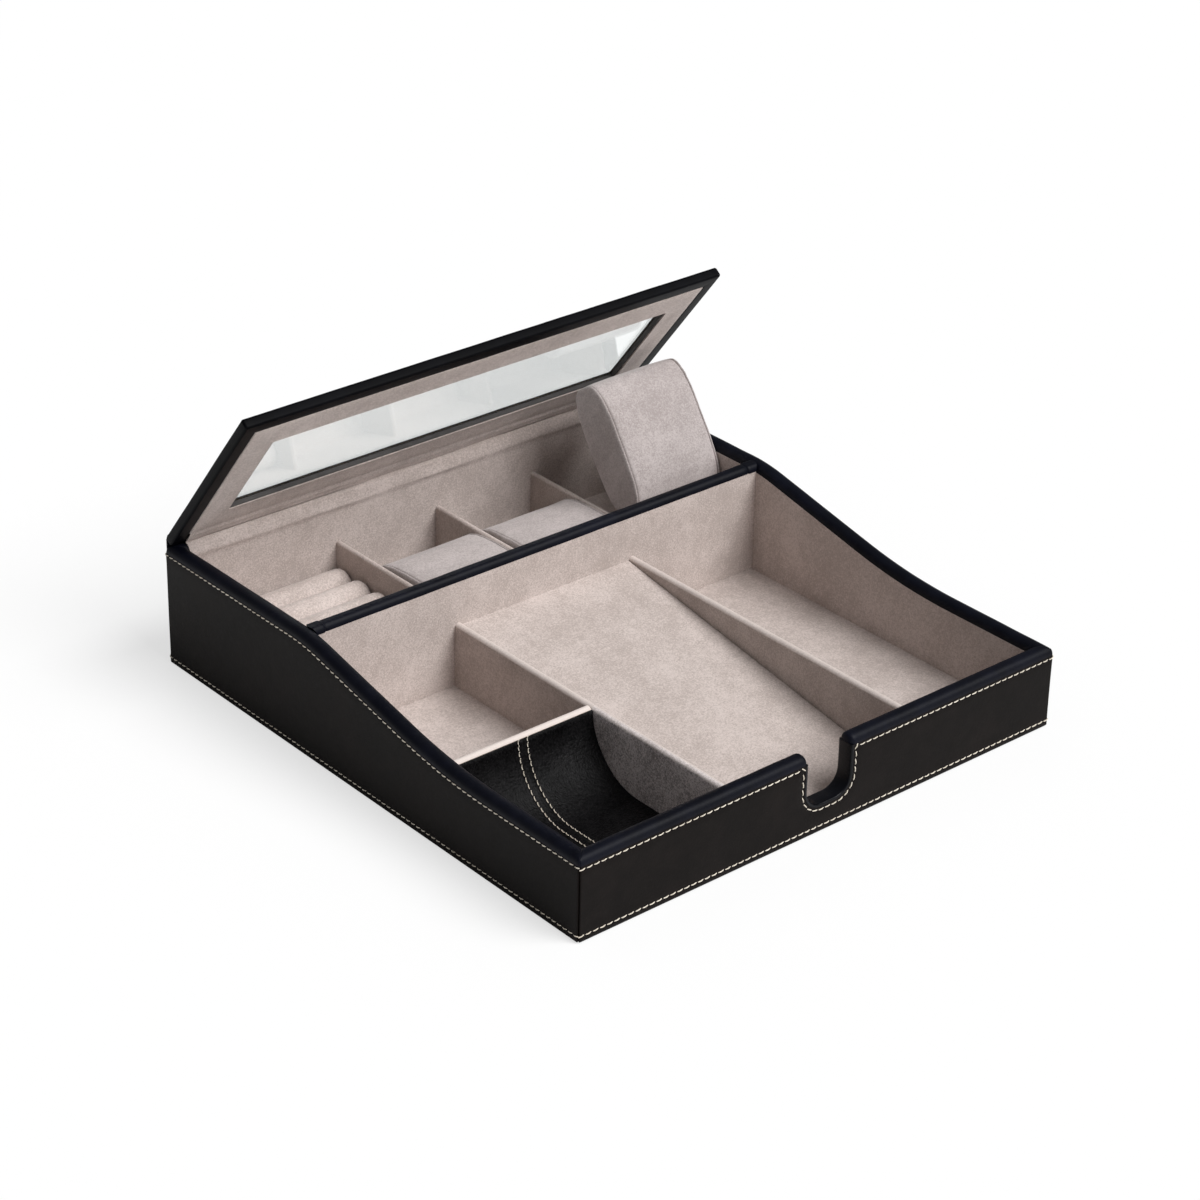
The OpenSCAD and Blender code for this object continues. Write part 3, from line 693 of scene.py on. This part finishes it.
def scoop_path():
    """Side view of the scoop's surface from its top edge down and forward: (y, z, normal y, normal z)."""
    centre_y = scoop_high.y - skin_t - scoop_r
    front_y = scoop_low.y + 0.3 * MM
    path = []
    for t in np.linspace(-scoop_below_wall / scoop_r, -math.pi / 2, 25):
        c, s = math.cos(t), math.sin(t)
        path.append((centre_y + scoop_r * c, scoop_high.z + scoop_r * s, -c, -s))
    return path + [(y, scoop_low.z + skin_t, 0, 1) for y in steps(centre_y, front_y, 3 * MM)[1:]]


def coin_scoop():
    """Pebbled leather bent into a quarter round, with a welt between two stitch lines."""
    welt = [(-1.2, 0), (-0.25, -0.06), (0, -0.18), (0.25, -0.02), (0.7, 0.26), (1, 0.3)]
    columns = []
    for step, rise in welt:
        offset = scoop_seam_half - step * (scoop_seam_half if step > 0.5 else MM)
        columns.append((scoop_seam_x - offset, rise * MM))
    columns += [(2 * scoop_seam_x - x, rise) for x, rise in reversed(columns[:-1])]
    left = [(x, 0) for x in steps(scoop_low.x, columns[0][0], 4 * MM)[:-1]]
    right = [(x, 0) for x in steps(columns[-1][0], scoop_high.x, 4 * MM)[1:]]
    path = scoop_path()
    back_t = skin_t * 0.9
    top_y, top_z = path[0][:2]
    grid = []
    for x, rise in left + columns + right:
        lift = [rise + rumple((x, y, z), 18 * MM, 0.2 * MM) for y, z, ny, nz in path]
        front = [(x, y + ny * up, z + nz * up) for (y, z, ny, nz), up in zip(path, lift)]
        back = [(x, y - ny * back_t, z - nz * back_t) for y, z, ny, nz in reversed(path)]
        fold = [(x, top_y + skin_t * 0.75, top_z + 0.1 * MM), (x, top_y + skin_t * 0.3, top_z + 0.35 * MM)]
        grid.append(front + back + fold)
    grid = np.array(grid).transpose(1, 0, 2)
    finished("scoop_skin", grid, scoop_leather, "tray", ["coin_scoop"], sharp=55)


coin_scoop()
scoop_seams = [([Vector((scoop_seam_x + offset, y, z)) + Vector((0, ny, nz)) * 0.12 * MM
                 for y, z, ny, nz in scoop_path()], None) for offset in (-scoop_seam_half, scoop_seam_half)]


# Stitches

def stitch_tree(pitch, radius):
    """Geometry nodes that lay short bent threads end to end along the seam lines."""
    tree = bpy.data.node_groups.new("stitch_line", "GeometryNodeTree")
    for way in ("INPUT", "OUTPUT"):
        tree.interface.new_socket("Geometry", in_out=way, socket_type="NodeSocketGeometry")
    add = partial(add_node, tree)
    curve = add("GeometryNodeMeshToCurve", {"Mesh": add("NodeGroupInput")["Geometry"]})["Curve"]
    facing = add("GeometryNodeInputNamedAttribute", {"Name": "facing"}, data_type="FLOAT_VECTOR")
    stored = tree.nodes.new("GeometryNodeCaptureAttribute")
    stored.capture_items.new("VECTOR", "facing")
    put(tree, stored.inputs["Geometry"], curve)
    put(tree, stored.inputs["facing"], facing["Attribute"])
    length = add("ShaderNodeValue")[0]
    length.default_value = pitch
    kept = stored.outputs
    spots = add("GeometryNodeCurveToPoints", {"Curve": kept["Geometry"], "Length": length}, mode="LENGTH")
    axes = {"Primary Axis": spots["Tangent"], "Secondary Axis": kept["facing"]}
    upright = add("FunctionNodeAxesToRotation", axes, primary_axis="X", secondary_axis="Z")["Rotation"]
    reach, foot, crown = pitch * stitch_share / 2, -1.3 * radius, 1.9 * radius
    bend = {"Resolution": 6, "Start": (-reach, 0, foot), "Middle": (0, 0, crown), "End": (reach, 0, foot)}
    bow = add("GeometryNodeCurveQuadraticBezier", bend)[0]
    circle = add("GeometryNodeCurvePrimitiveCircle", {"Resolution": 8, "Radius": radius}, mode="RADIUS")[0]
    strand = add("GeometryNodeCurveToMesh", {"Curve": bow, "Profile Curve": circle, "Fill Caps": True})[0]
    threads = {"Points": spots["Points"], "Instance": strand, "Rotation": upright}
    laid = add("GeometryNodeInstanceOnPoints", threads)[0]
    slant = add("FunctionNodeEulerToRotation", [(0, 0, stitch_slant)])[0]
    slanted = add("GeometryNodeRotateInstances", {"Instances": laid, "Rotation": slant})[0]
    real = add("GeometryNodeRealizeInstances", {"Geometry": slanted})[0]
    add("NodeGroupOutput", {"Geometry": real})
    return tree


def facing_of(line, outside):
    """The direction that the leather faces at each point of a seam line."""
    if outside is not None:
        return [outside] * len(line)
    found = []
    for i in range(len(line)):
        tangent = line[min(i + 1, len(line) - 1)] - line[max(i - 1, 0)]
        found.append(Vector((1, 0, 0)).cross(tangent).normalized())
    return found


def sewn(lines, pitch, radius):
    """A mesh of the stitches on these seam lines."""
    points, edges, facing = [], [], []
    for line, outside in lines:
        start = len(points)
        points += [tuple(point) for point in line]
        facing += [tuple(way) for way in facing_of(line, outside)]
        edges += [(start + i, start + i + 1) for i in range(len(line) - 1)]
    mesh = bpy.data.meshes.new("seam_lines")
    mesh.from_pydata(points, edges, [])
    mesh.attributes.new("facing", "FLOAT_VECTOR", "POINT").data.foreach_set("vector", np.ravel(facing))
    seam_lines = placed("seam_lines", mesh)
    seam_lines.modifiers.new("stitches", "NODES").node_group = stitch_tree(pitch, radius)
    bpy.context.view_layer.update()
    made = bpy.data.meshes.new_from_object(seam_lines.evaluated_get(bpy.context.evaluated_depsgraph_get()))
    bpy.data.objects.remove(seam_lines)
    return made


def tray_stitches():
    """All the thread on the tray: its walls' seams, and the two lines down the scoop."""
    whole = bmesh.new()
    for lines, pitch, radius in ((front_seams, front_pitch, thread_r), (side_seams, side_pitch, thread_r),
                                 (scoop_seams, scoop_pitch, scoop_thread_r)):
        whole.from_mesh(sewn(lines, pitch, radius))
    mesh = bpy.data.meshes.new("tray_stitches")
    whole.to_mesh(mesh)
    whole.free()
    finished("tray_stitches", mesh, stitch_thread, "tray", sharp=60)


tray_stitches()


# Cushions

flat_low, flat_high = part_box("left_pillow")
pillow_w, pillow_l, pillow_t = flat_high - flat_low
pillow_swell = 0.6 * MM
cover_power = 2 / 3.3
lid_open = -math.radians(joints["lid_hinge"]["range_deg"][0])
turn_ratio = frame["record"]["behaviour"]["couplings"][0]["ratio"]


def stuffing():
    """How far the filling pushes a pillow's cover out, by a cloth simulation held along its end seams."""
    around, across = 80, 41
    simulated_scale = 10
    simulated_frames = 20
    xs = np.linspace(-pillow_w / 2, pillow_w / 2, across)
    turns = np.linspace(0, 2 * math.pi, around, endpoint=False)
    round_y = blunt(np.cos(turns), cover_power) * (pillow_l / 2 - pillow_swell)
    round_z = blunt(np.sin(turns), cover_power) * (pillow_t / 2 - pillow_swell)
    cover = np.stack(np.broadcast_arrays(xs[None, :], round_y[:, None], round_z[:, None]), -1)
    mesh = shell("pillow_cover", cover * simulated_scale)
    sewn_cover = placed("pillow_cover", mesh)
    end_seams = sewn_cover.vertex_groups.new(name="end_seams")
    end_x = pillow_w / 2 * simulated_scale
    end_seams.add([v.index for v in mesh.vertices if abs(v.co.x) > end_x * 0.999], 1.0, "REPLACE")
    cloth = sewn_cover.modifiers.new("filling", "CLOTH")
    for words, value in {"quality": 6, "mass": 0.3, "tension_stiffness": 15, "compression_stiffness": 15,
                         "shear_stiffness": 5, "bending_stiffness": 0.6, "use_pressure": True,
                         "uniform_pressure_force": 4, "vertex_group_mass": "end_seams"}.items():
        setattr(cloth.settings, words, value)
    cloth.settings.effector_weights.gravity = 0
    cloth.collision_settings.use_collision = False
    for step in range(1, simulated_frames + 1):
        scene.frame_set(step)
    filled = sewn_cover.evaluated_get(bpy.context.evaluated_depsgraph_get()).data
    before, after = (np.array([v.co[:] for v in form.vertices]) for form in (mesh, filled))
    out = before * (0, (2 / pillow_l) ** 2, (2 / pillow_t) ** 2)
    out /= np.maximum(np.linalg.norm(out, axis=1), 1e-9)[:, None]
    push = ((after - before) * out).sum(1) / simulated_scale
    scene.frame_set(1)
    bpy.data.objects.remove(sewn_cover)
    return xs, pillow_swell * np.tanh(push.reshape(around, across) / pillow_swell)


def pillow_grid(crown, filling):
    """A stuffed block round the X axis, lightly crowned, with a corded seam round each flat end panel."""
    sides = 160
    xs, push = filling
    panel = [(0.1, 0, 0.02), (0.12, 0, 0.4), (0.2, 0, 0.72), (0.3, 0.22, 0.93), (0.42, 0.6, 0.98),
             (0.55, 0.6, 1), (0.75, 0.15, 1), (1.05, 0, 1), (1.35, 0.08, 1), (1.55, 0.5, 1), (1.7, 1, 1),
             (1.85, 0.7, 1), (2.1, 0.28, 1), (2.5, 0.06, 1), (3, 0, 1)]
    middle_from = 3.8 * MM - pillow_w / 2
    left = [(-pillow_w / 2 + x * MM, draw * MM, share) for x, draw, share in panel]
    middle = [(x, 0, 1) for x in np.linspace(middle_from, -middle_from, 31)]
    right = [(-x, draw, share) for x, draw, share in reversed(left)]
    grid = []
    for k in range(sides):
        turn = 2 * math.pi * k / sides
        ry, rz = blunt(math.cos(turn), cover_power), blunt(math.sin(turn), cover_power)
        spot = k / sides * len(push)
        after = spot - int(spot)
        pushed = push[int(spot)] * (1 - after) + push[(int(spot) + 1) % len(push)] * after
        row = []
        for x, draw, share in left + middle + right:
            draw += pillow_swell + crown * abs(2 * x / pillow_w) ** 4 - np.interp(x, xs, pushed) * share
            row.append((x, (pillow_l / 2 - draw) * ry * share, (pillow_t / 2 - draw) * rz * share))
        grid.append(row)
    return grid


def watch_pillow(side, filling, tilt, seed):
    """A suede watch pillow in the place of its solid. The propped one is a little crowned."""
    node = side + "_pillow"
    low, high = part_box(node)
    turned = Matrix.Translation((low + high) / 2) @ Matrix.Rotation(tilt, 4, "X")
    seam_in, seam_half = 1.15 * MM, 0.5 * MM
    grid = []
    for row in pillow_grid(0.6 * MM if tilt else 0.0, filling):
        line = []
        for x, y, z in row:
            way = Vector((0, y / (pillow_l / 2) ** 2, z / (pillow_t / 2) ** 2)).normalized()
            from_end = pillow_w / 2 - abs(x)
            puff = rumple((x + seed, y, z), 24 * MM, 0.4 * MM) + 0.05 * MM
            puff += math.exp(-from_end / (4 * MM)) * rumple((x * 0.3 + seed, y * 2, z * 2), 7 * MM, 0.32 * MM)
            if abs(from_end - seam_in) < seam_half:
                puff += rumple((seed, y, z), 1.1 * MM, 0.16 * MM)
            point = turned @ (Vector((x, y, z)) + way * puff)
            point.z = max(point.z, low.z)
            line.append(point)
        grid.append(line)
    piece = finished(side + "_watch_pillow", grid, pillow_suede, node, [node], sharp=70)


pillow_filling = stuffing()
for side, tilt, seed in (("left", 0.0, 0.1), ("middle", 0.0, 0.3), ("right", lid_open * turn_ratio, 0.5)):
    watch_pillow(side, pillow_filling, tilt, seed)


def ring_rolls():
    """Soft rolls side by side that hold rings between them, gathered at their ends."""
    low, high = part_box("ring_rolls")
    count, sides = 6, 40
    gap = 0.2 * MM
    pitch = (high.y - low.y + 2 * gap) / count
    r = pitch / 2
    centre_z = high.z - r + gap
    length = high.x - low.x
    gathered = [(0, 0.05), (0, 0.4), (0.25, 0.62), (0.9, 0.8), (2.2, 0.93), (4.2, 0.99)]
    places = [(x * MM, share) for x, share in gathered]
    places += [(x, 1.0) for x in steps(7 * MM, length - 7 * MM, 3 * MM)]
    places += [(length - x * MM, share) for x, share in reversed(gathered)]
    for i in range(count):
        centre_y = low.y - gap + pitch * (i + 0.5)
        grid = []
        for k in range(sides):
            turn = 2 * math.pi * k / sides
            row = []
            for x, share in places:
                near = min(x, length - x)
                gathers = 0.012 * math.sin(13 * turn + i) * math.exp(-near / (5 * MM)) * share
                soft = rumple((x, i * 0.05, turn * 4 * MM), 12 * MM, 0.02)
                reach = (r - gap / 2) * (share + gathers + soft - 0.015)
                z = centre_z + reach * math.sin(turn)
                row.append((low.x + x, centre_y + reach * math.cos(turn), max(z, low.z)))
            grid.append(row)
        name = f"ring_roll_{i + 1}"
        roll = finished(name, grid, lining_suede, "tray", ["ring_rolls"], sharp=70)


ring_rolls()


# Lid

hinge = Vector(joints["lid_hinge"]["pos_m"])
lid_forward = Vector((0, -math.cos(lid_open), math.sin(lid_open)))
lid_outward = Vector((0, math.sin(lid_open), math.cos(lid_open)))
lid_points = [Vector(v.co) for v in nodes["lid_leather"].data.vertices]
lid_l = max((point - hinge).dot(lid_forward) for point in lid_points)
lid_t = max((point - hinge).dot(lid_outward) for point in lid_points)
lid_w = max(point.x for point in lid_points) - min(point.x for point in lid_points)


def lid_at(x, s, h):
    """A point of the lid: s from its hinge edge, h from its under side."""
    return Vector((x, hinge.y, hinge.z)) + lid_forward * s + lid_outward * h


def arc(cx, cy, r, start, end, count=7):
    """Points of an arc, from start to end in degrees."""
    return [(cx + r * math.cos(math.radians(t)), cy + r * math.sin(math.radians(t)))
            for t in np.linspace(start, end, count)]


def lid_loop(inset, r):
    """A closed line round the lid, inset from its edges, with corners of radius r."""
    r = max(r, 0.15 * MM)
    half = lid_w / 2 - inset
    low, high = inset, lid_l - inset
    loop = []
    for cx, cy, start in ((half - r, high - r, 0), (r - half, high - r, 90), (r - half, low + r, 180),
                          (half - r, low + r, 270)):
        loop += arc(cx, cy, r, start, start + 90)
    points = []
    for (x, s), (next_x, next_s) in zip(loop, loop[1:] + loop[:1]):
        gap = math.hypot(next_x - x, next_s - s)
        side = lid_w if abs(next_x - x) > abs(next_s - s) else lid_l
        pieces = 1 if gap < 12 * MM else round(side / (5 * MM))
        points += [(x + (next_x - x) * i / pieces, s + (next_s - s) * i / pieces) for i in range(pieces)]
    return points


def lid_shell(name, section, material, replaced, soft):
    """A skin round the lid from a section of (inset, height) points in millimetres."""
    grid = []
    for inset, h in section:
        at_window = inset > border / 2
        r = window_corner_r + (border - inset) * MM if at_window else lid_corner_r - inset * MM
        grid.append([lid_at(x, s, h * MM + rumple((x, s, h * MM), 22 * MM, soft))
                     for x, s in lid_loop(inset * MM, r)])
    return finished(name, grid, material, "lid", [replaced], sharp=45, ring=True)


# The sections of the lid's two skins are in millimetres
thick, border, turned_in = lid_t / MM, window_border / MM, turn_in / MM
edge_r = 1.3
inner_edge_r = 0.5
board_in, board_foot, board_top = 1.6, 0.95, thick - 1.3
lid_section = [(border, board_top), (border, thick - inner_edge_r)]
lid_section += arc(border - inner_edge_r, thick - inner_edge_r, inner_edge_r, 0, 90, 4)
lid_section += [(border - 3, thick), (border - 12, thick), (6, thick), (3.6, thick)]
lid_section += arc(edge_r, thick - edge_r, edge_r, 90, 180, 8) + arc(edge_r, edge_r, edge_r, 180, 270, 8)
lid_section += [(4.5, 0), (6.6, 0.02), (7.6, 0.12), (turned_in, 0.45), (turned_in, board_foot)]
lid_section += [(board_in, board_foot), (board_in, board_top)]
# The lid's edges and under side take the darker lid leather, painted shade; its outer face takes the lid_face
# leather.
lid_skin = lid_shell("lid_skin", lid_section, leather["lid"], "lid_leather", 0.12 * MM)
lid_skin.data.materials.append(leather["lid_face"])
for face in lid_skin.data.polygons:
    if face.normal.dot(lid_outward) > 0.9:
        face.material_index = 1
panel_section = [(turned_in + off, h)
                 for off, h in ((0.05, board_foot), (0.05, 0.1), (0.25, -0.12), (0.7, -0.2))]
panel_section += [(border - off, h) for off, h in ((8, -0.2), (1.4, -0.22), (0.7, -0.45), (0.2, -0.55),
                                                   (0.05, -0.45), (0.05, board_foot))]
lid_shell("lid_suede_panel", panel_section, lining_suede, "lid_suede", 0.06 * MM)


def square_to(points):
    """Unit vectors square to a line of (y, z) points, at its right."""
    along = np.gradient(points, axis=0)
    along /= np.linalg.norm(along, axis=1)[:, None]
    return np.stack([along[:, 1], -along[:, 0]], 1)


def hinge_cloth():
    """Suede glued up the back lining, over the back rim and onto the lid, creased where it folds."""
    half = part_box("hinge_cloth")[1].x - 0.2 * MM
    off = 0.25 * MM
    down_lining = 5 * MM
    up_lid = 9.5 * MM
    middle = [(inner_back_y - off * min(1, 0.1 + (z - high_foot + down_lining) / (4 * MM)), z)
              for z in steps(high_foot - down_lining, high_foot, 0.5 * MM)]
    middle += [(hinge.y + (rim_r + off) * math.cos(t), high_foot + (rim_r + off) * math.sin(t))
               for t in np.radians(np.arange(172, 99, -6))]
    fold = len(middle)
    middle += [tuple(lid_at(0, s, -off).yz) for s in steps(0.5 * MM, up_lid, 0.5 * MM)]
    points = np.array(middle)
    for _ in range(2):
        points[1:-1] = (points[:-2] + 2 * points[1:-1] + points[2:]) / 4
    normal = square_to(points)
    normal *= np.where(normal[:, :1] < 0, 1, -1)
    places = np.concatenate([[0], np.cumsum(np.linalg.norm(np.diff(points, axis=0), axis=1))])
    hollow = places[fold]
    ridges = ((3.4 * MM, 0.5 * MM, 1.9 * MM), (hollow - 2 * MM, 0.6 * MM, 1.2 * MM),
              (hollow + 1.9 * MM, 0.5 * MM, 1.1 * MM), (hollow + 4.8 * MM, 0.3 * MM, 1.2 * MM))
    thickness = 0.4 * MM
    front, back = [], []
    for (y, z), (ny, nz), s in zip(points, normal, places):
        ends = min(1.0, s / (3.2 * MM), (places[-1] - s) / (2.5 * MM)) ** 1.3
        line_front, line_back = [], []
        for x in steps(-half, half, 3.5 * MM):
            bump = 0.0
            for centre, height, width in ridges:
                past = s - centre + rumple((x, centre, 1), 50 * MM, 1.8 * MM)
                bump += height * (1 + rumple((x, centre, 0), 34 * MM, 1.2)) * math.exp(-(past / width) ** 2)
            lift = thickness * (0.05 + 0.95 * ends) + max(bump, 0.0) * ends
            line_front.append((x, y + ny * lift, z + nz * lift))
            line_back.append((x, y, z))
        front.append(line_front)
        back.append(line_back)
    cloth = finished("hinge_suede", front + back[::-1], lining_suede, None, ["hinge_cloth"],
                     sharp=80)
    start, end = lid_at(0, 1.2 * MM, 0), lid_at(0, 4 * MM, 0)
    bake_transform(cloth)


def hinge_leather():
    """The lid's leather runs on over the hinge to the back wall, and closes the joint from outside."""
    half = lid_w / 2 - 0.9 * MM
    foot = high_foot - 0.25 * MM
    outer = half_d + 0.12 * MM
    outward, inward = 0.22 * MM, 0.5 * MM
    path = [(outer, z) for z in steps(foot, hinge.z + 2.2 * MM, 0.7 * MM)]
    path += [tuple(lid_at(0, s * MM, h * MM).yz)
             for s, h in ((-0.05, 4.1), (0.15, 4.75), (0.7, 5.25), (1.6, 5.46), (2.6, 5.48))]
    last = len(path) - 1
    outside, inside = [], []
    for i, ((y, z), (ny, nz)) in enumerate(zip(path, square_to(path))):
        thin = 0.3 + 0.7 * min(1.0, i / 2, (last - i) / 2)
        line_out, line_in = [], []
        for x in steps(-half, half, 4 * MM):
            lift = outward * thin + rumple((x, y, z), 18 * MM, 0.12 * MM)
            line_out.append((x, y + ny * lift, z + nz * lift))
            line_in.append((x, y - ny * inward * thin, z - nz * inward * thin))
        outside.append(line_out)
        inside.append(line_in)
    strip = finished("hinge_skin", outside + inside[::-1], leather["rim"], None, sharp=60)
    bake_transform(strip)


hinge_cloth()
hinge_leather()


# Camera, floor and light

def photograph_camera():
    """The photograph's camera, solved from the box's own right angles."""
    azimuth, elevation, roll = (math.radians(a) for a in (-40.2, 26.56, 0.84))
    focal_px, image_px = 3278.93, 1200
    middle_x_px, middle_y_px = 562.22, 489.5
    lens = bpy.data.cameras.new("camera")
    lens.sensor_width = 36
    lens.lens = lens.sensor_width * focal_px / image_px
    lens.shift_x = 0.5 - middle_x_px / image_px
    lens.shift_y = middle_y_px / image_px - 0.5
    lens.clip_start, lens.clip_end = 0.05, 50
    camera = placed("camera", lens)
    back = Vector((math.sin(azimuth) * math.cos(elevation), -math.cos(azimuth) * math.cos(elevation),
                   math.sin(elevation)))
    camera.rotation_mode = "QUATERNION"
    camera.rotation_quaternion = (Matrix.Rotation(roll, 3, back).to_quaternion()
                                  @ (-back).to_track_quat("-Z", "Y"))
    camera.location = Vector((-749.254 * MM - half_w, -871.942 * MM - half_d, 789.086 * MM))
    scene.camera = camera


def pale_floor():
    """A wide white floor. The camera sees its shadows softened, as a lit paper sweep shows them."""
    mesh = bpy.data.meshes.new("floor")
    mesh.from_pydata([(-8, -8, 0), (8, -8, 0), (8, 8, 0), (-8, 8, 0)], [], [(0, 1, 2, 3)])
    floor = placed("floor", mesh)
    paper = Finish("floor_paper", Base_Color=(0.975, 0.975, 0.975, 1), Roughness=1.0, Specular_IOR_Level=0.0)
    whitened = paper.add("ShaderNodeLightPath", output="Is Camera Ray") * floor_whitening
    white = paper.add("ShaderNodeEmission")
    mixed = paper.add("ShaderNodeMixShader", (whitened, paper.shader.outputs[0], white))
    put(paper.tree, paper.tree.nodes["Material Output"].inputs["Surface"], mixed)
    mesh.materials.append(paper.material)


def studio_light():
    """A wide soft key from the front right, and a white room that the camera and the glass see as white."""
    world = bpy.data.worlds.new("room")
    scene.world = world
    world.use_nodes = True
    world.node_tree.nodes.clear()
    add = partial(add_node, world.node_tree)
    ray = add("ShaderNodeLightPath")
    either = add("ShaderNodeMath", (ray["Is Camera Ray"], ray["Is Transmission Ray"]), operation="MAXIMUM")[0]
    fill, seen = (add("ShaderNodeBackground", {"Color": (1, 1, 1, 1), "Strength": strength})[0]
                  for strength in (fill_strength, 1.0))
    mixed = add("ShaderNodeMixShader", (either, fill, seen))[0]
    add("ShaderNodeOutputWorld", {"Surface": mixed})
    key = placed("key", bpy.data.lights.new("key", "SUN"))
    toward = Vector(key_from).normalized()
    key.data.energy = (level_light - fill_strength) * math.pi / toward.z
    key.data.angle = math.radians(key_width_deg)
    key.rotation_mode = "QUATERNION"
    key.rotation_quaternion = (-toward).to_track_quat("-Z", "Y")


photograph_camera()
pale_floor()
studio_light()
scene.view_settings.view_transform = "Standard"
